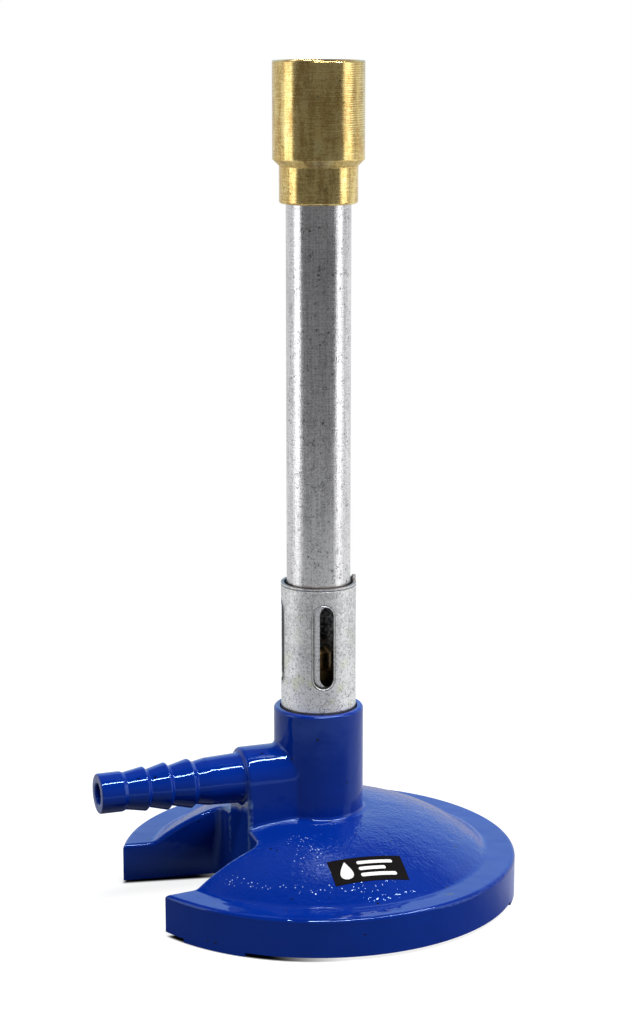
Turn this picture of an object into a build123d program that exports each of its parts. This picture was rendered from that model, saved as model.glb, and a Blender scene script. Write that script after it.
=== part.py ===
"""Bunsen burner with an air collar and a flame-stabilising head, in millimetres.

The origin is the centre of the round base on the bench plane. +Z runs up the barrel, and the
hose nozzle points along -X. Every piece stays a separate solid, written to parts/.
"""
import os
from math import degrees

from build123d import *

os.makedirs("parts", exist_ok=True)

# Driving dimensions.
barrel_radius = 12.7 / 2            # half-inch tube
barrel_wall = 0.85
base_radius = 40.0
rim_top = 8.4
foot_height = 0.8                   # four low lands carry the base
column_radius = 9.0
column_top = 38.7
cup_radius = 7.7                    # bore of the column that takes the collar's foot
cup_floor = 31.5
nozzle_height = 25.2                # axis of the hose nozzle above the bench
total_height = 166.3

# Base casting.
dome_foot_radius = 34.0             # where the dome meets the flat rim
dome_top = 17.0                     # height of the dome at the column
dome_bulge = 2.25                   # height of the dome's arc over its chord
rim_valley_round = 2.0
cast_round = 0.8                    # roots of the column and the block, notch and rim
column_lip_round = 0.6              # outer edge of the cup's rim
cup_mouth_round = 0.3

arm_half_width = 6.1                # block between the column and the nozzle
arm_end = 17.0                      # distance of the block's end face from the column axis
gas_bore_radius = 2.1
nozzle_profile = (                  # (distance from the column axis, radius)
    (16.0, 5.07),
    (24.0, 4.74),                   # end of the tapered tube
    (26.6, 4.23),
    (27.6, 4.95),                   # first barb, steep towards the block
    (31.6, 3.95),
    (32.4, 4.75),                   # second barb
    (36.2, 3.75),
    (36.9, 4.42),                   # third barb
    (40.9, 3.7),
    (41.7, 4.0),                    # plain land at the tip
    (46.3, 4.0),
)
nozzle_corner_round = 0.35
nozzle_root_round = 0.6
gas_mouth_round = 0.4

notch_start_half = 12.0             # half width of the notch at its end wall
notch_mouth_half = 15.7             # and where it leaves the rim
notch_corner_round = 2.2

foot_span = 20.0                    # angle that each land covers
foot_angles = (26.4, 141.0, 219.0, 333.6)

core_roof = 3.4                     # metal left over the cored underside
core_outer_radius = 36.2
core_boss_radius = 11.0
core_boss_drop = 1.0                # the roof starts this much lower at the boss
core_rim_step = 2.0                 # flat part of the roof under the rim
core_bulge = 1.4
core_wall = 3.4                     # metal left along the notch

# Gas jet, its holder and the foot of the barrel.
holder_thread_radius = 4.5
holder_shank = 4.1
washer_thickness = 0.6
washer_radius = 6.2
holder_hex_flats = 10.0
holder_hex_height = 2.5
foot_thread_radius = 4.0
foot_bush_flange_radius = 6.82      # runs inside the collar
foot_bush_flange_height = 3.0
foot_bush_height = 6.9
holder_short = 0.5                  # the holder ends this far inside the bush
jet_thread_radius = 2.5
jet_thread_length = 4.0
jet_hex_flats = 7.0
jet_hex_height = 5.6
jet_nose_radius = 2.6
jet_top = 51.0
jet_bore_radius = 1.2
jet_orifice_radius = 0.4
jet_orifice_length = 1.2
jet_nose_chamfer = 1.1
thread_chamfer = 0.4
holder_bore_radius = 1.6

# Air slots of the barrel and of the collar.
slot_width = 4.0
slot_bottom = 43.9
slot_top = 60.6

# Air collar, a rolled sleeve.
collar_radius = 7.5
collar_wall = 0.6
collar_top = 64.2
collar_floor_gap = 0.3
collar_turn = -12.5                 # its slots stand this far round from the barrel's
collar_seam = 0.35
collar_slot_round = 0.22
collar_lip_height = 1.1             # one corner of the seam stands up
collar_lip_width = 2.2

# Flame-stabilising head.
head_radius = 8.93
head_small_radius = 7.65
head_bottom = 139.2
head_step_bottom = 146.4
head_chamfer = 1.25
head_wall = 0.85
head_floor = 148.6
head_foot_round = 0.5
head_lip_round = 0.25
barrel_end_chamfer = 0.3
barrel_top = 163.6
pilot_ring_height = 4.6
pilot_groove_count = 12
pilot_groove_width = 1.3
pilot_groove_floor = 7.1
pilot_hole_count = 6
pilot_hole_radius = 0.8
pilot_hole_height = 151.5

# Label on the dome.
label_length = 15.0
label_width = 5.7
label_distance = 26.6
label_shift = 0.3                   # off the centre line, away from the nozzle
label_tilt = -2.5
label_thickness = 0.1

# Sizes that follow from those above.
nozzle_tip = nozzle_profile[-1][0]
barrel_bore = barrel_radius - barrel_wall
washer_top = cup_floor + washer_thickness
hex_top = washer_top + holder_hex_height
bush_top = hex_top + foot_bush_height
barrel_bottom = hex_top + foot_bush_flange_height
holder_top = bush_top - holder_short
jet_hex_top = holder_top + jet_hex_height
slot_height = slot_top - slot_bottom
slot_middle = (slot_top + slot_bottom) / 2
collar_bottom = cup_floor + collar_floor_gap
collar_bore = collar_radius - collar_wall
pilot_ring_bottom = barrel_top - pilot_ring_height
head_bore = head_radius - head_wall

arm_axis = Axis((0, 0, nozzle_height), (-1, 0, 0))


def facing_plane(angle, height=0.0):
    """A vertical plane through the Z axis whose normal points out at angle; its y runs up."""
    outward = Vector(1, 0, 0).rotate(Axis.Z, angle)
    return Plane(origin=(0, 0, height), x_dir=Vector(0, 0, 1).cross(outward), z_dir=outward)


def radial_plane(angle):
    """A vertical half-section plane: its x runs outwards at angle, its y runs up."""
    outward = Vector(1, 0, 0).rotate(Axis.Z, angle)
    return Plane(origin=(0, 0, 0), x_dir=outward, z_dir=outward.cross(Vector(0, 0, 1)))


def ring_edges(part, radius, height):
    """The circular edges of one radius at one height."""
    return part.edges().filter_by(GeomType.CIRCLE).filter_by(
        lambda e: abs(e.radius - radius) < 0.01 and abs(e.arc_center.Z - height) < 0.01
    )


def dome_arc(lift=0.0):
    """The dome's outline from the rim up to the column, raised by lift."""
    return SagittaArc(
        (dome_foot_radius, rim_top + lift), (column_radius, dome_top + lift), -dome_bulge
    )


def is_cast_edge(edge):
    """True at the roots of the column and the block, and along the notch and the rim."""
    middle = edge.center()
    if not rim_top - 0.1 < middle.Z < column_top - 0.1:
        return False
    if edge.geom_type == GeomType.LINE and (middle.X > 0 or abs(middle.Z - nozzle_height) < 0.1):
        return False                # smooth seams of the column and the block
    if edge.geom_type == GeomType.CIRCLE and abs(edge.radius - dome_foot_radius) < 1:
        return False                # smooth sides of the rim's valley
    upright = abs(edge.tangent_at(0.5).Z) > 0.9
    return not (upright and abs(middle.Y) > arm_half_width + 0.1)


def tube(outer, inner, bottom, top):
    """A plain round tube along Z, added to the active part."""
    with BuildSketch(Plane.XY.offset(bottom)) as ring:
        Circle(outer)
        Circle(inner, mode=Mode.SUBTRACT)
    extrude(ring.sketch, amount=top - bottom)


def round_rod(radius, bottom, top, mode=Mode.ADD):
    """A plain round rod along Z, added to the active part."""
    with BuildSketch(Plane.XY.offset(bottom)) as disc:
        Circle(radius)
    extrude(disc.sketch, amount=top - bottom, mode=mode)


def round_bore(radius, bottom, top):
    """A round hole along Z, cut out of the active part."""
    round_rod(radius, bottom, top, mode=Mode.SUBTRACT)


def cut_air_slots(turn):
    """Four upright slots, a quarter turn apart, cut through the active tube."""
    for angle in (turn, turn + 90):
        with BuildSketch(facing_plane(angle, slot_middle)) as slot:
            SlotOverall(slot_height, slot_width, rotation=90)
        extrude(slot.sketch, amount=base_radius, both=True, mode=Mode.SUBTRACT)


# ---------------------------------------------------------------- base casting

# The notch under the nozzle, as a plan outline that runs out past the rim.
notch_mouth = 1.1 * base_radius
with BuildSketch() as notch_plan:
    with BuildLine():
        Polyline(
            (-arm_end, -notch_start_half),
            (-arm_end, notch_start_half),
            (-notch_mouth, notch_mouth_half),
            (-notch_mouth, -notch_mouth_half),
            close=True,
        )
    make_face()
    fillet(notch_plan.vertices().group_by(Axis.X)[-1], notch_corner_round)

# The hollow that the underside is cored out to, short of the notch's walls.
core_top = dome_top - core_roof
core_edge_top = rim_top - core_roof
with BuildPart() as core:
    with BuildSketch(Plane.XZ):
        with BuildLine():
            hollow_roof = SagittaArc(
                (core_outer_radius - core_rim_step, core_edge_top),
                (core_boss_radius, core_top - core_boss_drop),
                -core_bulge,
            )
            Polyline(
                hollow_roof @ 1,
                (core_boss_radius, 0),
                (core_outer_radius, 0),
                (core_outer_radius, core_edge_top),
                hollow_roof @ 0,
            )
        make_face()
    revolve(axis=Axis.Z)
    with BuildSketch():
        add(notch_plan.sketch)
        offset(amount=core_wall, kind=Kind.INTERSECTION)
        with Locations((-arm_end / 2, 0)):
            Rectangle(arm_end, 2 * arm_half_width)
    extrude(amount=core_top, mode=Mode.SUBTRACT)

with BuildPart() as base_casting:
    # Disc, dome and column, one turned outline.
    with BuildSketch(Plane.XZ) as turned_outline:
        with BuildLine():
            dome = dome_arc()
            Polyline(
                dome @ 1,
                (column_radius, column_top),
                (0, column_top),
                (0, foot_height),
                (base_radius, foot_height),
                (base_radius, rim_top),
                dome @ 0,
            )
        make_face()
        valley = turned_outline.vertices().filter_by(
            lambda v: abs(v.X - dome_foot_radius) < 0.01 and abs(v.Y - rim_top) < 0.01
        )
        fillet(valley, rim_valley_round)
    revolve(axis=Axis.Z)

    # Block that carries the nozzle, down to the bench side of the disc.
    with BuildSketch(Plane.YZ):
        with Locations((0, nozzle_height)):
            Circle(arm_half_width)
        with Locations((0, (nozzle_height + foot_height) / 2)):
            Rectangle(2 * arm_half_width, nozzle_height - foot_height)
    extrude(amount=-arm_end)

    # Notch from the block's end face out through the rim.
    with BuildSketch():
        add(notch_plan.sketch)
    extrude(amount=nozzle_height - arm_half_width, mode=Mode.SUBTRACT)

    # Cast roundings: the roots of the column and the block, the notch and the rim.
    fillet(base_casting.edges().filter_by(is_cast_edge), cast_round)

    # Hose nozzle, turned about its own axis: a tapered tube, three barbs and a plain tip.
    with BuildSketch(Plane.XZ) as nozzle_outline:
        with BuildLine():
            Polyline(
                (-nozzle_profile[0][0], nozzle_height),
                *[(-distance, nozzle_height + radius) for distance, radius in nozzle_profile],
                (-nozzle_tip, nozzle_height),
                close=True,
            )
        make_face()
        nozzle_corners = nozzle_outline.vertices().filter_by(
            lambda v: v.Y > nozzle_height + gas_bore_radius and v.X < -arm_end
        )
        fillet(nozzle_corners, nozzle_corner_round)
    revolve(axis=arm_axis)
    nozzle_root = base_casting.edges().filter_by(GeomType.CIRCLE).filter_by(
        lambda e: abs(e.center().X + arm_end) < 0.01 and 4.5 < e.radius < arm_half_width - 0.3
    )
    fillet(nozzle_root, nozzle_root_round)

    # Gas way: along the nozzle to the column axis, then up to the jet holder.
    with BuildSketch(Plane.YZ.offset(-nozzle_tip)):
        with Locations((0, nozzle_height)):
            Circle(gas_bore_radius)
    extrude(amount=nozzle_tip + gas_bore_radius, mode=Mode.SUBTRACT)
    gas_mouth = base_casting.edges().filter_by(GeomType.CIRCLE).filter_by(
        lambda e: abs(e.radius - gas_bore_radius) < 0.01 and abs(e.center().X + nozzle_tip) < 0.01
    )
    fillet(gas_mouth, gas_mouth_round)
    round_bore(holder_bore_radius, nozzle_height, cup_floor)
    round_bore(holder_thread_radius, cup_floor - holder_shank, cup_floor)

    # Cup in the column's head.
    round_bore(cup_radius, cup_floor, column_top)
    fillet(ring_edges(base_casting, column_radius, column_top), column_lip_round)
    fillet(ring_edges(base_casting, cup_radius, column_top), cup_mouth_round)

    # Cored underside and the four foot lands.
    add(core.part, mode=Mode.SUBTRACT)
    for angle in foot_angles:
        with BuildSketch(radial_plane(angle - foot_span / 2)):
            with Locations(((core_outer_radius + base_radius) / 2, foot_height / 2)):
                Rectangle(base_radius - core_outer_radius, foot_height)
        revolve(axis=Axis.Z, revolution_arc=foot_span)
base_casting.part.label = "base_casting"
export_step(base_casting.part, "parts/base_casting.step")


# ---------------------------------------------------------------- gas jet

# Fibre washer that seals the jet holder on the cup's floor.
with BuildPart() as jet_washer:
    tube(washer_radius, holder_thread_radius, cup_floor, washer_top)
jet_washer.part.label = "jet_washer"
export_step(jet_washer.part, "parts/jet_washer.step")

# Brass holder: a shank in the casting, a hexagon, and the thread that the barrel's foot takes.
with BuildPart() as jet_holder:
    round_rod(holder_thread_radius, cup_floor - holder_shank, washer_top)
    with BuildSketch(Plane.XY.offset(washer_top)):
        RegularPolygon(holder_hex_flats / 2, 6, major_radius=False)
    extrude(amount=holder_hex_height)
    round_rod(foot_thread_radius, hex_top, holder_top)
    round_bore(holder_bore_radius, cup_floor - holder_shank, holder_top)
    round_bore(jet_thread_radius, holder_top - jet_thread_length, holder_top)
    chamfer(ring_edges(jet_holder, foot_thread_radius, holder_top), thread_chamfer)
jet_holder.part.label = "jet_holder"
export_step(jet_holder.part, "parts/jet_holder.step")

# Brass jet screwed into the holder, with the fine orifice that meters the gas.
with BuildPart() as gas_jet:
    round_rod(jet_thread_radius, holder_top - jet_thread_length, holder_top)
    with BuildSketch(Plane.XY.offset(holder_top)):
        RegularPolygon(jet_hex_flats / 2, 6, major_radius=False)
    extrude(amount=jet_hex_height)
    round_rod(jet_nose_radius, jet_hex_top, jet_top)
    chamfer(ring_edges(gas_jet, jet_nose_radius, jet_top), jet_nose_chamfer)
    round_bore(jet_bore_radius, holder_top - jet_thread_length, jet_top - jet_orifice_length)
    round_bore(jet_orifice_radius, jet_top - jet_orifice_length, jet_top)
gas_jet.part.label = "gas_jet"
export_step(gas_jet.part, "parts/gas_jet.step")


# ---------------------------------------------------------------- barrel

# Threaded bush in the barrel's foot; its flange guides the air collar.
with BuildPart() as foot_bush:
    round_rod(foot_bush_flange_radius, hex_top, barrel_bottom)
    round_rod(barrel_bore, barrel_bottom, bush_top)
    round_bore(foot_thread_radius, hex_top, bush_top)
    chamfer(ring_edges(foot_bush, foot_bush_flange_radius, barrel_bottom), thread_chamfer)
    chamfer(ring_edges(foot_bush, barrel_bore, bush_top), thread_chamfer)
foot_bush.part.label = "foot_bush"
export_step(foot_bush.part, "parts/foot_bush.step")

# Aluminium barrel with four air slots low down and pilot holes inside the head.
with BuildPart() as barrel:
    tube(barrel_radius, barrel_bore, barrel_bottom, barrel_top)
    cut_air_slots(0)
    for turn in range(pilot_hole_count // 2):
        with BuildSketch(facing_plane(turn * 360 / pilot_hole_count, pilot_hole_height)):
            Circle(pilot_hole_radius)
        extrude(amount=base_radius, both=True, mode=Mode.SUBTRACT)
    chamfer(ring_edges(barrel, barrel_bore, barrel_top), barrel_end_chamfer)
barrel.part.label = "barrel"
export_step(barrel.part, "parts/barrel.step")


# ---------------------------------------------------------------- air collar

# The standing corner of the collar's seam, a small triangle of the rolled wall.
lip_angle = degrees(collar_lip_width / collar_radius)
with BuildPart() as collar_lip:
    tube(collar_radius, collar_bore, collar_top - collar_wall, collar_top + collar_lip_height)
    with BuildSketch(facing_plane(collar_turn + lip_angle / 2)):
        with BuildLine():
            Polyline(
                (-collar_lip_width / 2, collar_top - collar_wall),
                (-collar_lip_width / 2, collar_top + collar_lip_height * 0.8),
                (-collar_lip_width / 4, collar_top + collar_lip_height),
                (collar_lip_width / 2, collar_top),
                (collar_lip_width / 2, collar_top - collar_wall),
                close=True,
            )
        make_face()
    extrude(amount=base_radius, mode=Mode.INTERSECT)

with BuildPart() as air_collar:
    tube(collar_radius, collar_bore, collar_bottom, collar_top)
    cut_air_slots(collar_turn)
    slot_rims = air_collar.edges(Select.NEW).filter_by(
        lambda e: Vector(e.center().X, e.center().Y, 0).length > (collar_radius + collar_bore) / 2
    )
    fillet(slot_rims, collar_slot_round)
    add(collar_lip.part)
    with BuildSketch(facing_plane(collar_turn, (collar_bottom + collar_top) / 2)):
        with Locations((-collar_seam / 2, 0)):
            Rectangle(collar_seam, 2 * (collar_top - collar_bottom))
    extrude(amount=base_radius, mode=Mode.SUBTRACT)
air_collar.part.label = "air_collar"
export_step(air_collar.part, "parts/air_collar.step")


# ---------------------------------------------------------------- flame-stabilising head

# Brass shell: a collar pressed on the barrel, a step, and a wide cup round the barrel's mouth.
with BuildPart() as head_shell:
    with BuildSketch(Plane.XZ):
        with BuildLine():
            Polyline(
                (barrel_radius, head_bottom),
                (head_small_radius, head_bottom),
                (head_small_radius, head_step_bottom),
                (head_radius, head_step_bottom + head_chamfer),
                (head_radius, total_height),
                (head_bore, total_height),
                (head_bore, head_floor),
                (barrel_radius, head_floor),
                close=True,
            )
        make_face()
    revolve(axis=Axis.Z)
    fillet(ring_edges(head_shell, head_small_radius, head_bottom), head_foot_round)
    fillet(ring_edges(head_shell, head_radius, total_height), head_lip_round)
    fillet(ring_edges(head_shell, head_bore, total_height), head_lip_round)
head_shell.part.label = "head_shell"
export_step(head_shell.part, "parts/head_shell.step")

# Grooved ring between barrel and shell: its grooves feed the ring of small pilot flames.
with BuildPart() as pilot_ring:
    tube(head_bore, barrel_radius, pilot_ring_bottom, barrel_top)
    groove_depth = head_bore - pilot_groove_floor
    with BuildSketch(Plane.XY.offset(pilot_ring_bottom)):
        with PolarLocations(pilot_groove_floor + groove_depth, pilot_groove_count):
            Rectangle(2 * groove_depth, pilot_groove_width)
    extrude(amount=pilot_ring_height, mode=Mode.SUBTRACT)
pilot_ring.part.label = "pilot_ring"
export_step(pilot_ring.part, "parts/pilot_ring.step")


# ---------------------------------------------------------------- label

# Thin sticker that follows the dome.
with BuildPart() as base_label:
    with BuildSketch(Plane.XZ):
        with BuildLine():
            under = dome_arc()
            over = dome_arc(label_thickness)
            Line(under @ 0, over @ 0)
            Line(under @ 1, over @ 1)
        make_face()
    revolve(axis=Axis.Z)
    with BuildSketch():
        with Locations((label_shift, -label_distance)):
            Rectangle(label_length, label_width, rotation=label_tilt)
    extrude(amount=total_height, mode=Mode.INTERSECT)
base_label.part.label = "base_label"
export_step(base_label.part, "parts/base_label.step")
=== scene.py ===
import math
from functools import cached_property

import bmesh
import bpy
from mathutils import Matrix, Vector


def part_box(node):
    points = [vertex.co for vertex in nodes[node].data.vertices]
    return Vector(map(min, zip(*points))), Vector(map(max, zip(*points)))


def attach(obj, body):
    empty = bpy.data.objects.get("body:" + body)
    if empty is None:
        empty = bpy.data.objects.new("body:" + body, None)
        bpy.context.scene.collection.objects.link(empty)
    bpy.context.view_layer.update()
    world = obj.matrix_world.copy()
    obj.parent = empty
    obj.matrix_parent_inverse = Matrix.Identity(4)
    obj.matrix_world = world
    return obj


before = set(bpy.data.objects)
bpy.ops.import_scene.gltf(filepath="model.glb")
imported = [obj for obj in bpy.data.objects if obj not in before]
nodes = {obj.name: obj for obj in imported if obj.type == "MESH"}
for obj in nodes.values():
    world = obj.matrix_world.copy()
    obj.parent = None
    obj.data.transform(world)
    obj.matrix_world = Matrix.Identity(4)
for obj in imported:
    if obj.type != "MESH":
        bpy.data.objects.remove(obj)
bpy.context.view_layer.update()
scene = bpy.context.scene
scene.view_settings.view_transform = "Standard"
scene.view_settings.look = "None"


# ---------------------------------------------------------------- sizes

mm = 0.001


def box_mm(node):
    """A node's lowest and highest corners at rest, in millimetres."""
    lo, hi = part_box(node)
    return lo / mm, hi / mm


base_high = box_mm("base_casting")[1]
barrel_high = box_mm("barrel")[1]
collar_high = box_mm("air_collar")[1]
head_low, head_high = box_mm("head_shell")
base_radius = base_high.x
column_top = base_high.z
barrel_radius = barrel_high.x
collar_radius = collar_high.x
head_radius = head_high.x
head_top = head_high.z

# The part's own values, in millimetres, where a box doesn't give them.
rim_top = 8.4                       # flat rim of the base
column_radius = 9.0
cup_radius = 7.7                    # bore of the column, round the collar's foot
cup_floor = 31.5
dome_foot_radius = 34.0             # where the dome meets the rim
dome_top = 17.0
block_end = 17.0                    # distance of the block's end from the axis
block_half_width = 6.1
barrel_bore = barrel_radius - 0.85
collar_bore = collar_radius - 0.6
collar_rim = collar_high.z - 1.1    # below the standing corner of the seam
slot_turn = math.radians(-12.5)     # the collar's slots, round from the X axis
slot_middle = 52.25
slot_half_height = 8.35
slot_half_width = 2.0
head_step = 146.4                   # foot of the head's wide part
head_groove_pitch = 0.43


# ---------------------------------------------------------------- camera

camera_turn = math.radians(20.5)
camera_distance = 0.4617
camera_height = 0.1766
camera_pitch = math.radians(12.02)
camera_side_step = 0.0005
to_camera = Vector((-math.sin(camera_turn), -math.cos(camera_turn), 0))
to_right = Vector((math.cos(camera_turn), -math.sin(camera_turn), 0))
camera_data = bpy.data.cameras.new("camera")
camera_data.lens = 83.74
camera_data.sensor_width = 36.0
camera_data.clip_start = 0.01
camera = bpy.data.objects.new("camera", camera_data)
camera.location = (
    to_camera * camera_distance - to_right * camera_side_step + Vector((0, 0, camera_height))
)
camera.rotation_euler = (math.pi / 2 - camera_pitch, 0, -camera_turn)
scene.collection.objects.link(camera)
scene.camera = camera


# ---------------------------------------------------------------- node graphs

class Graph:
    """Adds shader nodes to one node tree and wires them up."""

    def __init__(self, tree):
        self.tree = tree

    def node(self, kind, inputs=(), **settings):
        made = self.tree.nodes.new(kind)
        for key, value in settings.items():
            setattr(made, key, value)
        for key, value in dict(inputs).items():
            self.put(made.inputs[key], value)
        return made

    def put(self, socket, value):
        """Sets a socket to a number or colour, or wires another socket into it."""
        if isinstance(value, bpy.types.NodeSocket):
            self.tree.links.new(value, socket)
        else:
            socket.default_value = value

    def math(self, operation, a, b=0.0, c=0.0):
        """One Math node's result. The inputs are numbers or sockets."""
        made = self.node("ShaderNodeMath", operation=operation)
        for socket, value in zip(made.inputs, (a, b, c)):
            self.put(socket, value)
        return made.outputs[0]

    def times(self, *factors):
        product = factors[0]
        for factor in factors[1:]:
            product = self.math("MULTIPLY", product, factor)
        return product

    def plus(self, *terms):
        total = terms[0]
        for term in terms[1:]:
            total = self.math("ADD", total, term)
        return total

    def step(self, value, start, end, low=0.0, high=1.0):
        """A smooth step from low at start to high at end."""
        made = self.node("ShaderNodeMapRange", interpolation_type="SMOOTHSTEP")
        for socket, number in zip(made.inputs, (value, start, end, low, high)):
            self.put(socket, number)
        return made.outputs[0]

    def band(self, value, low, high, soft):
        """1 between low and high, falling to 0 over soft on both sides."""
        return self.times(
            self.step(value, low - soft, low), self.step(value, high, high + soft, 1.0, 0.0)
        )

    def larger(self, *values):
        largest = values[0]
        for value in values[1:]:
            largest = self.math("MAXIMUM", largest, value)
        return largest

    def noise(self, vector, scale, detail=2.0, roughness=0.5, distortion=0.0):
        made = self.node("ShaderNodeTexNoise", {
            "Vector": vector, "Scale": scale, "Detail": detail,
            "Roughness": roughness, "Distortion": distortion,
        })
        return made.outputs[0]

    def vector(self, x, y, z):
        return self.node("ShaderNodeCombineXYZ", {"X": x, "Y": y, "Z": z}).outputs[0]

    def mix(self, factor, a, b):
        made = self.node("ShaderNodeMix", data_type="RGBA")
        self.put(made.inputs[0], factor)
        self.put(made.inputs[6], a)
        self.put(made.inputs[7], b)
        return made.outputs[2]

    def bump(self, height, distance, strength=1.0, normal=None):
        made = self.node(
            "ShaderNodeBump", {"Height": height, "Distance": distance, "Strength": strength}
        )
        if normal is not None:
            self.put(made.inputs["Normal"], normal)
        return made.outputs[0]


class Paint(Graph):
    """A material with one Principled shader, and its surface's coordinates in millimetres."""

    def __init__(self, name, **constants):
        self.material = bpy.data.materials.new(name)
        self.material.use_nodes = True
        super().__init__(self.material.node_tree)
        self.shader = self.tree.nodes["Principled BSDF"]
        for key, value in constants.items():
            self.shader.inputs[key.replace("_", " ")].default_value = value
        place = self.node("ShaderNodeTexCoord").outputs["Object"]
        self.mm = self.node(
            "ShaderNodeVectorMath", {0: place, "Scale": 1 / mm}, operation="SCALE"
        ).outputs[0]
        axes = self.node("ShaderNodeSeparateXYZ", {0: self.mm})
        self.x, self.y, self.z = axes.outputs

    @cached_property
    def radius(self):
        """Distance from the Z axis, in millimetres."""
        squares = self.plus(self.times(self.x, self.x), self.times(self.y, self.y))
        return self.math("SQRT", squares)

    @cached_property
    def facing_up(self):
        """1 where the surface faces straight up, 0 where it is upright, -1 where it faces down."""
        facing = self.node("ShaderNodeNewGeometry").outputs["Normal"]
        return self.node("ShaderNodeSeparateXYZ", {0: facing}).outputs[2]

    def around(self, radius):
        """Distance round the Z axis at one radius, in millimetres."""
        return self.times(self.math("ARCTAN2", self.y, self.x), radius)

    def from_line(self, x, y, x_weight):
        """Squared distance from the upright line through (x, y), with X weighted."""
        along_x = self.plus(self.x, -x)
        along_y = self.plus(self.y, -y)
        return self.plus(self.times(along_x, along_x, x_weight), self.times(along_y, along_y))

    def hairs(self, scale, width, shift, share):
        """Thin wandering scratches: a noise's middle contour, kept in patches."""
        moved = self.node("ShaderNodeVectorMath", {0: self.mm, 1: (shift, shift, shift)}).outputs[0]
        contour = self.math("ABSOLUTE", self.math("SUBTRACT", self.noise(moved, scale, 1.0), 0.5))
        kept = self.step(self.noise(moved, scale * 0.55, 0.0), 1.0 - share, 1.03 - share)
        return self.times(self.step(contour, width * 0.4, width, 1.0, 0.0), kept)

    def set(self, **links):
        """Puts a value or a socket into each named input of the shader."""
        for key, value in links.items():
            self.put(self.shader.inputs[key.replace("_", " ")], value)


def paint_node(node, material):
    mesh = nodes[node].data
    mesh.materials.clear()
    mesh.materials.append(material)


# ---------------------------------------------------------------- blue enamel

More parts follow.
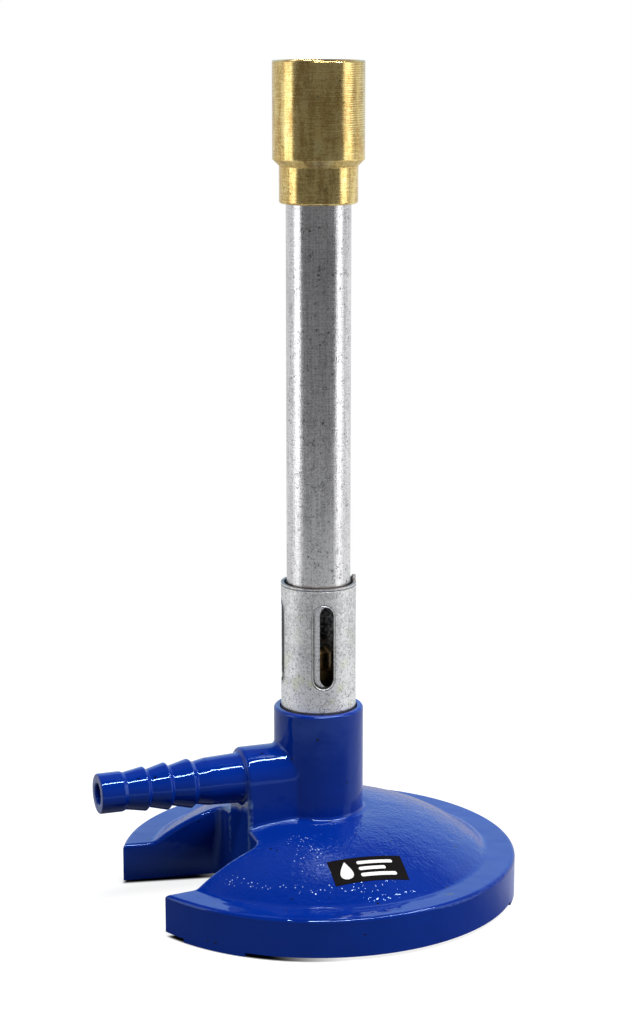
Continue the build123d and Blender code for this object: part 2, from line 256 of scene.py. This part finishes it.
def make_enamel():
    p = Paint(
        "blue_enamel", IOR=1.5, Specular_IOR_Level=0.62, Specular_Tint=(0.42, 0.66, 1.0, 1),
        Sheen_Weight=0.22, Sheen_Roughness=0.4, Sheen_Tint=(0.03, 0.16, 1.0, 1),
    )
    dome = p.times(
        p.step(p.radius, column_radius + 0.8, column_radius + 2.5),
        p.step(p.radius, dome_foot_radius - 0.6, dome_foot_radius + 0.6, 1.0, 0.0),
        p.step(p.facing_up, 0.55, 0.8), p.band(p.z, rim_top + 0.2, dome_top + 0.6, 0.5),
    )
    # Where the enamel is pimpled: loose patches, an arc near the dome's foot, and one cluster.
    patch = p.step(p.noise(p.mm, 0.11, 2.0), 0.42, 0.60)
    front = p.times(p.step(p.y, -19.0, -15.0, 1.0, 0.0), p.step(p.x, -6.0, 9.0, 1.0, 0.60))
    foot_arc = p.times(
        p.band(p.radius, dome_foot_radius - 4.2, dome_foot_radius - 2.7, 0.7),
        p.larger(front, p.step(p.noise(p.mm, 0.13, 1.0), 0.52, 0.64)),
    )
    cluster = p.step(p.from_line(-10.0, -20.0, 4.0), 16.0, 90.0, 1.0, 0.0)
    rough_area = p.larger(p.times(patch, 0.4), p.times(foot_arc, 0.8), cluster)
    grain = p.plus(p.noise(p.mm, 1.5, 2.0, 0.5), p.times(p.noise(p.mm, 0.5, 1.0), 0.5))
    # Small round pimples in the enamel.
    cell = p.node("ShaderNodeTexVoronoi", {"Vector": p.mm, "Scale": 1.6, "Randomness": 1.0})
    pimple = p.step(cell.outputs["Distance"], 0.02, 0.42, 1.0, 0.0)
    chosen = p.node("ShaderNodeSeparateColor", {0: cell.outputs["Color"]}).outputs[0]
    pimple = p.times(pimple, p.step(chosen, 0.33, 0.53), p.step(rough_area, 0.35, 0.8), dome)
    wave = p.noise(p.mm, 0.16, 1.0)
    sag = p.noise(p.mm, 0.5, 1.0)
    smooth_bump = p.bump(p.plus(wave, p.times(sag, 0.22)), 0.00016)
    calmer = p.step(p.radius, dome_foot_radius - 5.2, dome_foot_radius - 3.5, 0.40, 0.20)
    grain_bump = p.bump(p.times(grain, calmer, dome), 0.00032, 1.0, smooth_bump)
    all_bump = p.bump(pimple, 0.00004, 1.0, grain_bump)

    tone = p.noise(p.mm, 0.09, 3.0)
    blue = p.mix(tone, (0.0004, 0.0175, 0.215, 1), (0.0009, 0.0235, 0.26, 1))
    # Painted light: the side wall of the base is painted a little lighter blue than the top.
    side_wall_painted_light = p.times(
        p.step(p.radius, base_radius - 0.8, base_radius - 0.3),
        p.step(p.z, rim_top - 1.2, rim_top - 0.6, 1.0, 0.0),
    )
    side_blue_painted_light = p.mix(tone, (0.0006, 0.023, 0.27, 1), (0.0012, 0.031, 0.33, 1))
    blue = p.mix(side_wall_painted_light, blue, side_blue_painted_light)
    # Worn streaks where the block meets the notch's end wall.
    streaks = p.noise(p.vector(p.times(p.x, 2.0), p.times(p.y, 2.2), p.times(p.z, 0.35)), 1.0, 4.0, 0.7)
    worn = p.times(
        p.band(p.x, -block_end - 1.4, -block_end + 0.6, 0.5),
        p.band(p.math("ABSOLUTE", p.y), block_half_width - 0.8, block_half_width + 5.9, 0.8),
        p.step(p.z, 11.0, 17.0), p.step(p.z, 18.6, 20.0, 1.0, 0.0), p.step(streaks, 0.50, 0.70),
    )
    blue = p.mix(p.times(worn, 0.30), blue, (0.09, 0.15, 0.36, 1))
    # The enamel runs thin on the block's upright edges.
    thin = p.times(
        p.band(p.x, -block_end - 0.3, -block_end + 0.7, 0.3),
        p.band(p.math("ABSOLUTE", p.y), block_half_width - 0.7, block_half_width + 0.5, 0.4),
        p.band(p.z, 9.0, 21.0, 2.0), p.step(p.noise(p.mm, 0.9, 3.0, 0.6), 0.40, 0.62),
    )
    blue = p.mix(p.times(thin, 0.65), blue, (0.12, 0.22, 0.42, 1))
    # A small grey chip on the rim, and a few dark pinholes.
    chip_spot = p.plus(p.from_line(14.5, -33.8, 0.35), p.times(p.noise(p.mm, 2.0, 3.0), 1.2))
    chip = p.times(
        p.step(chip_spot, 0.75, 1.0, 1.0, 0.0), p.step(p.z, rim_top - 0.4, rim_top - 0.2)
    )
    blue = p.mix(p.times(chip, 0.6), blue, (0.045, 0.05, 0.075, 1))
    pinhole = p.step(p.noise(p.mm, 0.9, 0.0), 0.845, 0.86)
    blue = p.mix(pinhole, blue, (0.004, 0.005, 0.02, 1))
    # Painted shade in the cup that the collar stands in, round the collar's foot; the band is also
    # rougher.
    cup_shade = p.times(
        p.step(p.radius, cup_radius + 0.05, cup_radius + 0.3, 1.0, 0.0),
        p.band(p.z, cup_floor - 3.5, column_top - 0.2, 0.3),
    )
    blue = p.mix(cup_shade, blue, (0.002, 0.003, 0.006, 1))
    dust = p.step(p.noise(p.mm, 1.1, 6.0, 0.7), 0.62, 0.8)
    # Painted highlights: pale glints on the tips of the pimples.
    reach = p.plus(cell.outputs["Distance"], p.times(p.noise(p.mm, 0.8, 1.0), 0.35))
    tip = p.step(reach, 0.26, 0.42, 1.0, 0.0)
    fleck = p.times(tip, p.step(chosen, 0.28, 0.34), p.step(rough_area, 0.45, 0.75), dome)
    blue = p.mix(p.times(fleck, 0.85), blue, (0.45, 0.62, 0.95, 1))
    p.set(
        Base_Color=blue,
        Roughness=p.plus(
            0.03, p.times(tone, 0.04), p.times(dust, 0.05), p.times(worn, 0.3), p.times(cup_shade, 0.4)
        ),
        Normal=all_bump,
    )
    return p.material


# ---------------------------------------------------------------- metals

def make_barrel_metal():
    p = Paint("drawn_aluminium", Metallic=1.0)
    round_mm = p.around(barrel_radius)
    lengthwise = p.noise(p.vector(p.times(round_mm, 2.6), p.times(p.z, 0.07), 0.0), 1.0, 4.0, 0.6)
    crosswise = p.noise(p.vector(p.times(round_mm, 0.30), p.times(p.z, 3.2), 4.0), 1.0, 3.0, 0.6)
    clouds = p.noise(p.vector(round_mm, p.times(p.z, 0.35), 0.0), 0.16, 3.0)
    low = p.step(p.z, collar_rim - 2.2, head_low.z - 9.2, 1.0, 0.0)
    speckle = p.noise(p.mm, 3.0, 3.0, 0.75)
    fleck = p.noise(p.mm, 1.5, 2.0, 0.6)
    marks = p.larger(p.hairs(1.1, 0.024, 5.0, 0.37), p.hairs(1.9, 0.03, 40.0, 0.34))
    tone = p.plus(
        p.times(lengthwise, 0.20), p.times(crosswise, 0.16), p.times(clouds, 0.14),
        p.times(speckle, p.plus(0.20, p.times(low, 0.14))),
        p.times(fleck, p.plus(0.08, p.times(low, 0.05))),
    )
    grey = p.mix(
        p.step(tone, p.plus(0.28, p.times(low, 0.06)), p.plus(0.50, p.times(low, 0.06))),
        (0.46, 0.455, 0.475, 1), (0.97, 0.965, 0.985, 1),
    )
    grey = p.mix(p.times(marks, 0.85), grey, (0.07, 0.07, 0.07, 1))
    # Painted shade: the bore is painted dark, with grit in it.
    shaded_inside = p.step(p.radius, barrel_bore + 0.2, barrel_radius - 0.25, 1.0, 0.0)
    grit = p.step(p.noise(p.mm, 1.4, 3.0, 0.7), 0.42, 0.58)
    grey = p.mix(p.times(shaded_inside, p.plus(0.94, p.times(grit, -0.34))), grey, (0.03, 0.028, 0.025, 1))
    height = p.plus(
        p.times(lengthwise, 0.45), p.times(crosswise, 0.25),
        p.times(fleck, p.plus(0.15, p.times(low, 0.15))),
        p.times(speckle, p.plus(0.4, p.times(low, 0.3))),
    )
    p.set(
        Base_Color=grey,
        Roughness=p.plus(0.15, p.times(tone, 0.12), p.times(low, 0.09)),
        Normal=p.bump(height, 0.00004),
    )
    return p.material


def make_turned_brass():
    p = Paint("turned_brass", Metallic=1.0)
    round_mm = p.around(head_radius)
    wander = p.noise(p.vector(p.times(round_mm, 0.12), p.times(p.z, 0.4), 0.0), 1.0, 2.0)
    groove = p.math(
        "SINE", p.times(p.plus(p.z, p.times(wander, 0.2)), 2 * math.pi / head_groove_pitch)
    )
    turn = p.math("ARCTAN2", p.y, p.x)
    groove_patch = p.step(p.math("ABSOLUTE", p.plus(turn, 0.35)), 0.75, 1.45, 1.0, 0.25)
    upper = p.step(p.z, head_step + 2.6, head_step + 8.6)
    fine = p.noise(p.vector(p.times(round_mm, 0.25), p.times(p.z, 3.4), 0.0), 1.0, 4.0, 0.65)
    cloud = p.noise(p.mm, 0.32, 4.0, 0.6)
    nick = p.hairs(0.8, 0.014, 11.0, 0.36)
    grain = p.noise(p.mm, 2.6, 3.0, 0.75)
    brass = p.mix(p.step(cloud, 0.3, 0.7), (0.94, 0.71, 0.27, 1), (1.0, 0.84, 0.38, 1))
    smear = p.noise(p.vector(p.times(round_mm, 0.55), p.times(p.z, 0.13), 9.0), 1.0, 4.0, 0.6)
    dark = p.step(p.plus(p.times(fine, 0.30), p.times(grain, 0.32), p.times(smear, 0.38)), 0.42, 0.58)
    brass = p.mix(p.times(dark, 0.72), brass, (0.42, 0.235, 0.055, 1))
    # Painted shade in the floors of the turned grooves.
    groove_shade = p.times(p.step(groove, 0.0, 0.9), groove_patch, upper)
    brass = p.mix(p.times(groove_shade, 0.55), brass, (0.30, 0.18, 0.055, 1))
    brass = p.mix(p.times(nick, 0.8), brass, (0.08, 0.05, 0.02, 1))
    top_edge = p.times(p.step(p.z, head_top - 0.4, head_top - 0.2), p.step(p.facing_up, 0.3, 0.7))
    brass = p.mix(p.times(top_edge, 0.8), brass, (0.80, 0.42, 0.07, 1))
    height = p.plus(
        p.times(groove, 0.8, groove_patch, p.plus(0.25, p.times(upper, 0.75))),
        p.times(fine, 0.40), p.times(grain, 0.08),
    )
    p.set(
        Base_Color=brass,
        Roughness=p.plus(
            0.13, p.times(cloud, 0.10), p.times(p.band(p.z, head_step - 0.1, head_step + 1.4, 0.1), 0.25)
        ),
        Normal=p.bump(height, 0.00003),
    )
    return p.material


def make_dull_brass(name, dark, light):
    p = Paint(name, Metallic=1.0)
    cloud = p.noise(p.mm, 0.6, 5.0, 0.65)
    rings = p.noise(p.vector(0.0, 0.0, p.times(p.z, 5.0)), 1.0, 3.0, 0.6)
    tone = p.plus(p.times(cloud, 0.7), p.times(rings, 0.3))
    p.set(
        Base_Color=p.mix(p.step(tone, 0.3, 0.7), dark, light),
        Roughness=p.plus(0.24, p.times(cloud, 0.2)),
        Normal=p.bump(p.plus(rings, p.times(cloud, 0.5)), 0.00001),
    )
    return p.material


def make_zinc():
    p = Paint("zinc_plated_sheet", Metallic=1.0)
    round_mm = p.around(collar_radius)
    mottle = p.noise(p.mm, 1.5, 5.0, 0.70, 0.5)
    blotch = p.noise(p.mm, 0.25, 3.0, 0.55)
    salt = p.noise(p.mm, 3.6, 3.0, 0.8)
    brushed = p.noise(p.vector(p.times(round_mm, 1.6), p.times(p.z, 0.5), 3.0), 1.0, 4.0, 0.6)
    low = p.step(p.z, column_top - 0.7, column_top + 17.3, 1.0, 0.0)
    tone = p.plus(
        p.times(mottle, 0.34), p.times(blotch, 0.10), p.times(salt, 0.44), p.times(brushed, 0.12)
    )
    # Painted light: the lower part of the collar is painted a little lighter.
    grey = p.mix(
        p.step(p.plus(tone, p.times(low, 0.05)), 0.375, 0.575),
        (0.42, 0.43, 0.43, 1), (1.0, 1.0, 1.0, 1),
    )
    stain = p.times(p.step(p.noise(p.mm, 0.30, 3.0), 0.52, 0.66), p.plus(0.15, p.times(low, 0.6)))
    grey = p.mix(p.times(stain, 0.75), grey, (0.76, 0.77, 0.50, 1))
    specks = p.times(p.step(p.noise(p.mm, 2.3, 2.0), 0.60, 0.68), p.plus(0.40, p.times(low, 0.45)))
    scratches = p.times(
        p.hairs(0.9, 0.022, 33.0, 0.50), low, p.step(p.z, column_top + 9.3, column_top + 16.3, 1.0, 0.0)
    )
    specks = p.larger(
        specks, p.times(p.hairs(0.7, 0.012, 21.0, 0.40), 0.5), p.times(scratches, 0.7)
    )
    grey = p.mix(specks, grey, (0.16, 0.16, 0.15, 1))
    # Distance from the edge of the nearest air slot, for the burr that punching left round it.
    turn = p.math("SUBTRACT", p.math("ARCTAN2", p.y, p.x), slot_turn)
    eighth = math.pi / 4
    across = p.times(p.math("WRAP", turn, eighth, -eighth), collar_radius)
    from_middle = p.math("ABSOLUTE", p.math("SUBTRACT", p.z, slot_middle))
    beyond = p.larger(p.math("SUBTRACT", from_middle, slot_half_height - slot_half_width), 0.0)
    from_spine = p.math("SQRT", p.plus(p.times(across, across), p.times(beyond, beyond)))
    from_slot = p.math("SUBTRACT", from_spine, slot_half_width)
    burr = p.times(p.step(from_slot, 0.0, 0.14), p.step(from_slot, 0.14, 0.34, 1.0, 0.0))
    burr_foot_shade = p.band(from_slot, 0.30, 0.42, 0.12)
    # Painted shade in the dip round the burr's foot.
    grey = p.mix(p.times(burr_foot_shade, 0.55), grey, (0.16, 0.16, 0.16, 1))
    # Painted shade: dark cut walls of the slots, dark lines under the top rim and at the foot, and a
    # dark inside.
    cut_wall_shade = p.times(
        p.band(p.radius, collar_bore + 0.05, collar_radius - 0.16, 0.04),
        p.step(p.z, collar_rim - 0.3, collar_rim - 0.2, 1.0, 0.0),
    )
    rim_shade_line = p.band(p.z, collar_rim - 0.48, collar_rim - 0.34, 0.10)
    rim_face = p.times(
        p.step(p.z, collar_rim - 0.30, collar_rim - 0.23), p.step(p.facing_up, 0.5, 0.8)
    )
    foot_shade_line = p.step(p.z, column_top + 0.25, column_top + 0.45, 1.0, 0.0)
    shaded_inside = p.step(p.radius, collar_bore + 0.02, collar_bore + 0.06, 1.0, 0.0)
    dark = p.larger(
        p.times(cut_wall_shade, 0.8), p.times(rim_shade_line, 0.7), p.times(foot_shade_line, 0.85), p.times(shaded_inside, 0.8)
    )
    grey = p.mix(p.times(rim_face, 0.8), grey, (0.34, 0.27, 0.24, 1))
    grey = p.mix(dark, grey, (0.05, 0.05, 0.05, 1))
    height = p.plus(
        p.times(mottle, 1.0), p.times(salt, 0.6), p.times(brushed, 0.4), p.times(blotch, 2.0),
        p.times(rim_shade_line, -1.0), p.times(burr, 1.6), p.times(burr_foot_shade, -0.8),
    )
    p.set(
        Base_Color=grey,
        Roughness=p.plus(0.38, p.times(mottle, 0.14), p.times(low, 0.08)),
        Normal=p.bump(height, 0.00005),
    )
    return p.material


def make_fibre():
    p = Paint("vulcanised_fibre", IOR=1.5)
    strands = p.noise(p.mm, 1.8, 5.0, 0.7, 1.0)
    p.set(
        Base_Color=p.mix(strands, (0.20, 0.04, 0.03, 1), (0.38, 0.11, 0.08, 1)),
        Roughness=p.plus(0.6, p.times(strands, 0.2)),
        Normal=p.bump(strands, 0.00003),
    )
    return p.material


def make_label_film():
    p = Paint("label_film", IOR=1.45, Specular_IOR_Level=0.04)
    wrinkle = p.noise(p.mm, 0.35, 3.0)
    scuff = p.noise(p.vector(p.times(p.x, 0.5), p.times(p.y, 3.0), 0.0), 1.0, 5.0, 0.7)
    p.set(
        Base_Color=p.mix(scuff, (0.003, 0.002, 0.002, 1), (0.010, 0.008, 0.008, 1)),
        Roughness=p.plus(0.42, p.times(scuff, 0.15)),
        Normal=p.bump(p.plus(wrinkle, p.times(scuff, 0.05)), 0.00005),
    )
    return p.material


enamel = make_enamel()
barrel_metal = make_barrel_metal()
turned_brass = make_turned_brass()
zinc = make_zinc()
paint_node("base_casting", enamel)
paint_node("barrel", barrel_metal)
paint_node("air_collar", zinc)
paint_node("head_shell", turned_brass)
paint_node("pilot_ring", make_dull_brass("milled_brass", (0.50, 0.35, 0.13, 1), (0.76, 0.57, 0.24, 1)))
paint_node("foot_bush", barrel_metal)
# Painted shade: the jet's brass is painted nearly black, as it stands in shade inside the barrel.
shaded_jet_brass = make_dull_brass("shaded_jet_brass", (0.05, 0.03, 0.012, 1), (0.20, 0.13, 0.05, 1))
paint_node("jet_holder", shaded_jet_brass)
paint_node("gas_jet", shaded_jet_brass)
paint_node("jet_washer", make_fibre())
paint_node("base_label", make_label_film())


# ---------------------------------------------------------------- print on the label

def add_mesh(name, verts, faces, material):
    mesh = bpy.data.meshes.new(name)
    mesh.from_pydata([tuple(v) for v in verts], [], faces)
    mesh.materials.append(material)
    obj = bpy.data.objects.new(name, mesh)
    scene.collection.objects.link(obj)
    return obj


def make_print_ink():
    p = Paint("white_ink", IOR=1.45)
    fleck = p.noise(p.mm, 2.2, 4.0, 0.7)
    p.set(
        Base_Color=p.mix(p.step(fleck, 0.3, 0.6), (0.62, 0.62, 0.62, 1), (0.84, 0.84, 0.83, 1)),
        Roughness=p.plus(0.4, p.times(fleck, 0.15)),
        Normal=p.bump(fleck, 0.00001),
    )
    return p.material


label_lo, label_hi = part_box("base_label")
label_middle = (label_lo + label_hi) / 2
label_tilt = math.radians(-2.5)    # as the label is turned on the dome
label_along = Vector((math.cos(label_tilt), math.sin(label_tilt), 0))
label_across = Vector((-math.sin(label_tilt), math.cos(label_tilt), 0))
ink_height = 0.02 * mm
ink = make_print_ink()


def on_label(along, across):
    """The point on the label's face at this distance from its middle, in millimetres."""
    place = label_middle + label_along * (along * mm) + label_across * (across * mm)
    hit, where, _, _ = nodes["base_label"].ray_cast(Vector((place.x, place.y, 0.1)), Vector((0, 0, -1)))
    assert hit, "the print runs off the label"
    return where


def add_print(name, rows):
    """A thin raised patch of ink. Each row is a line of (along, across) points over the label."""
    width = len(rows[0])
    top = [on_label(*point) + Vector((0, 0, ink_height)) for row in rows for point in row]
    under = [place - Vector((0, 0, 1.5 * ink_height)) for place in top]
    count = len(top)
    faces = []
    for i in range(len(rows) - 1):
        for j in range(width - 1):
            a = i * width + j
            quad = (a, a + 1, a + width + 1, a + width)
            faces.append(quad)
            faces.append(tuple(count + k for k in reversed(quad)))
    last = (len(rows) - 1) * width
    border = (
        list(range(width)) + [i * width + width - 1 for i in range(1, len(rows))]
        + list(range(last + width - 2, last - 1, -1)) + [i * width for i in range(len(rows) - 2, 0, -1)]
    )
    for a, b in zip(border, border[1:] + border[:1]):
        faces.append((b, a, count + a, count + b))
    obj = add_mesh(name, top + under, faces, ink)
    tidy = bmesh.new()
    tidy.from_mesh(obj.data)
    bmesh.ops.recalc_face_normals(tidy, faces=tidy.faces)
    tidy.to_mesh(obj.data)
    tidy.free()
    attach(obj, "burner")
    return obj


def bar_rows(start, end, across, thickness):
    """A bar with round ends."""
    radius = thickness / 2
    steps = 32
    rows = []
    for i in range(steps + 1):
        along = start + (end - start) * (0.5 - 0.5 * math.cos(math.pi * i / steps))
        inset = max(start + radius - along, along - end + radius, 0)
        half = math.sqrt(max(radius * radius - inset * inset, 0)) + 0.01
        rows.append([(along, across - half + 2 * half * j / 4) for j in range(5)])
    return rows


def flame_rows(middle, foot, height, half_width, lean):
    """A drop-shaped flame that leans a little at its tip."""
    steps = 24
    rows = []
    for i in range(steps + 1):
        rise = i / steps
        half = half_width * math.sin(math.pi * rise ** 0.62) ** 0.85 * (1 - 0.35 * rise) + 0.012
        shift = lean * rise * rise
        across = foot + height * rise
        rows.append([(middle + shift - half + 2 * half * j / 6, across) for j in range(7)])
    return rows


# The print's bars, in millimetres on the label: start, end and place across it.
label_bars = ((-1.9, 5.4, 1.45), (-1.9, 3.6, 0.0), (-1.9, 5.4, -1.45))
bar_thickness = 0.75

add_print(
    "label_flame", flame_rows(middle=-4.6, foot=-2.0, height=4.0, half_width=1.45, lean=0.35)
)
for index, (start, end, across) in enumerate(label_bars):
    add_print(f"label_bar_{index + 1}", bar_rows(start, end, across, bar_thickness))


# ---------------------------------------------------------------- studio, in metres

floor_radius = 0.25
floor_sides = 96
underside_radius = 0.0345           # the part of the floor that only the underside sees
underside_soft = 0.0015
notch_start = 0.018                 # the notch, as the light beneath the base leaves it out
notch_half_width = 0.014
notch_soft = 0.002
notch_end_half = 0.012              # half width of the base's notch at its end wall
notch_flare = 0.187                 # and how fast it widens from there
shadow_full = -0.022                # the contact shadow fades out between these X
shadow_end = -0.006
shade_start = 0.09                  # where the floor's dark mirror image fades out
shade_end = 0.14


def make_floor():
    """A round pale floor that reads as white and lights the object less than it shows."""
    material = bpy.data.materials.new("floor_paint")
    material.use_nodes = True
    g = Graph(material.node_tree)
    g.tree.nodes.remove(g.tree.nodes["Principled BSDF"])
    path = g.node("ShaderNodeLightPath").outputs
    pale = g.node("ShaderNodeBsdfDiffuse", {"Color": (0.44, 0.44, 0.44, 1)}).outputs[0]
    faint = g.node("ShaderNodeBsdfDiffuse", {"Color": (0.26, 0.26, 0.26, 1)}).outputs[0]
    glow = g.node("ShaderNodeEmission", {"Color": (1, 1, 1, 1), "Strength": 0.86}).outputs[0]
    bright = g.node("ShaderNodeAddShader", {0: faint, 1: glow}).outputs[0]
    # Only the underside sees the floor beneath the base, which lights it for views from below.
    spot = g.node("ShaderNodeNewGeometry").outputs["Position"]
    axes = g.node("ShaderNodeSeparateXYZ", {0: spot}).outputs
    from_axis = g.math("SQRT", g.plus(g.times(axes[0], axes[0]), g.times(axes[1], axes[1])))
    from_middle = g.math("ABSOLUTE", axes[1])
    in_notch = g.times(
        g.step(axes[0], -notch_start - notch_soft, -notch_start + notch_soft, 1.0, 0.0),
        g.step(from_middle, notch_half_width - notch_soft, notch_half_width + notch_soft, 1.0, 0.0),
    )
    beneath = g.times(
        g.step(
            from_axis, underside_radius - underside_soft, underside_radius + underside_soft, 1.0, 0.0
        ),
        g.math("SUBTRACT", 1.0, in_notch),
    )
    dim = g.node("ShaderNodeEmission", {
        "Color": (1, 1, 1, 1), "Strength": g.plus(0.085, g.times(beneath, 0.5)),
    }).outputs[0]
    # The contact shadow: dark under the base on the nozzle's side, but not in the notch.
    past_end = g.math("SUBTRACT", -block_end * mm, axes[0])
    notch_half = g.plus(notch_end_half, g.times(past_end, notch_flare))
    from_notch = g.math("SUBTRACT", from_middle, notch_half)
    open_floor = g.times(
        g.step(past_end, -0.0005, 0.0005), g.step(from_notch, -0.0012, 0.0002, 1.0, 0.0)
    )
    covered = g.times(
        g.step(from_axis, base_radius * mm - 0.0004, base_radius * mm + 0.0006, 1.0, 0.0),
        g.math("SUBTRACT", 1.0, open_floor), g.step(axes[0], shadow_full, shadow_end, 1.0, 0.0),
    )
    black = g.node("ShaderNodeBsdfDiffuse", {"Color": (0.03, 0.03, 0.03, 1)}).outputs[0]
    bright = g.node("ShaderNodeMixShader", {0: covered, 1: bright, 2: black}).outputs[0]
    # Close to the front of the object the floor mirrors dark in its enamel.
    ahead = g.node(
        "ShaderNodeVectorMath", {0: spot, 1: tuple(to_camera)}, operation="DOT_PRODUCT"
    ).outputs["Value"]
    nearby = g.times(
        g.step(from_axis, shade_start, shade_end, 1.0, 0.0),
        g.step(g.math("DIVIDE", ahead, from_axis), 0.0, 0.5),
    )
    shade = g.node("ShaderNodeBsdfDiffuse", {"Color": (0.15, 0.15, 0.15, 1)}).outputs[0]
    mirrored = g.node("ShaderNodeMixShader", {0: nearby, 1: pale, 2: shade}).outputs[0]
    shown = g.node("ShaderNodeMixShader", {0: path["Is Camera Ray"], 1: mirrored, 2: bright}).outputs[0]
    both = g.node("ShaderNodeMixShader", {0: path["Is Diffuse Ray"], 1: shown, 2: dim}).outputs[0]
    # From below the floor is clear, so that the underside can be looked at.
    clear = g.node("ShaderNodeBsdfTransparent").outputs[0]
    from_below = g.node("ShaderNodeNewGeometry").outputs["Backfacing"]
    all_round = g.node("ShaderNodeMixShader", {0: from_below, 1: both, 2: clear}).outputs[0]
    g.put(g.tree.nodes["Material Output"].inputs[0], all_round)
    material.cycles.emission_sampling = "NONE"
    turns = [2 * math.pi * i / floor_sides for i in range(floor_sides)]
    ring = [(floor_radius * math.cos(turn), floor_radius * math.sin(turn), 0) for turn in turns]
    return add_mesh("floor", ring, [tuple(range(floor_sides))], material)


# Upright softboxes in the world's light: start, end and soft edge in degrees round from the
# photo's viewpoint, right positive, and strength.
softbox_bands = ((68, 88, 2, 1.5), (88, 96, 6, 0.7), (-91, -70, 3, 1.5), (-104, -91, 3, 0.5))


def make_world():
    """Pale backdrop, two tall softboxes left and right, and a dim front."""
    world = bpy.data.worlds.new("studio")
    world.use_nodes = True
    scene.world = world
    g = Graph(world.node_tree)
    way = g.node("ShaderNodeTexCoord").outputs["Generated"]

    def along(axis):
        made = g.node("ShaderNodeVectorMath", {0: way, 1: tuple(axis)}, operation="DOT_PRODUCT")
        return made.outputs["Value"]

    turn = g.math("ARCTAN2", along(to_right), along(to_camera))
    side = g.math("ABSOLUTE", turn)
    up = along((0, 0, 1))
    degree = math.pi / 180
    base = g.step(side, 98 * degree, 112 * degree, 0.17, 0.70)
    base = g.plus(base, g.times(g.step(turn, 92 * degree, 96 * degree), 0.14))
    base = g.times(base, g.step(up, 0.35, 0.75, 1.0, 0.25))
    behind = g.times(g.step(side, 118 * degree, 150 * degree), g.band(up, 0.10, 0.62, 0.08))
    box_height = g.band(up, -0.60, 0.72, 0.08)
    softboxes = g.plus(*[
        g.times(g.band(turn, start * degree, end * degree, soft * degree), strength)
        for start, end, soft, strength in softbox_bands
    ])
    lit = g.plus(base, g.times(softboxes, box_height))
    grey = g.vector(lit, lit, lit)
    colour = g.mix(behind, grey, (0.58, 0.87, 1.15, 1))
    seen = g.node("ShaderNodeLightPath").outputs["Is Camera Ray"]
    background = g.tree.nodes["Background"]
    g.put(background.inputs["Color"], g.mix(seen, colour, (1, 1, 1, 1)))
    background.inputs["Strength"].default_value = 1.0


def add_tube_light(name, place, aim, length, width, power):
    light = bpy.data.lights.new(name, "AREA")
    light.shape = "RECTANGLE"
    light.size = length
    light.size_y = width
    light.energy = power
    obj = bpy.data.objects.new(name, light)
    obj.location = place
    obj.rotation_euler = (aim - place).to_track_quat("-Z", "Y").to_euler()
    obj.visible_camera = False
    scene.collection.objects.link(obj)


make_floor()
make_world()
tube_light_place = Vector((0.15, -0.41, 1.05))
object_middle = Vector((0, 0, 0.05))
add_tube_light("tube_light", tube_light_place, object_middle, length=1.3, width=0.05, power=18)
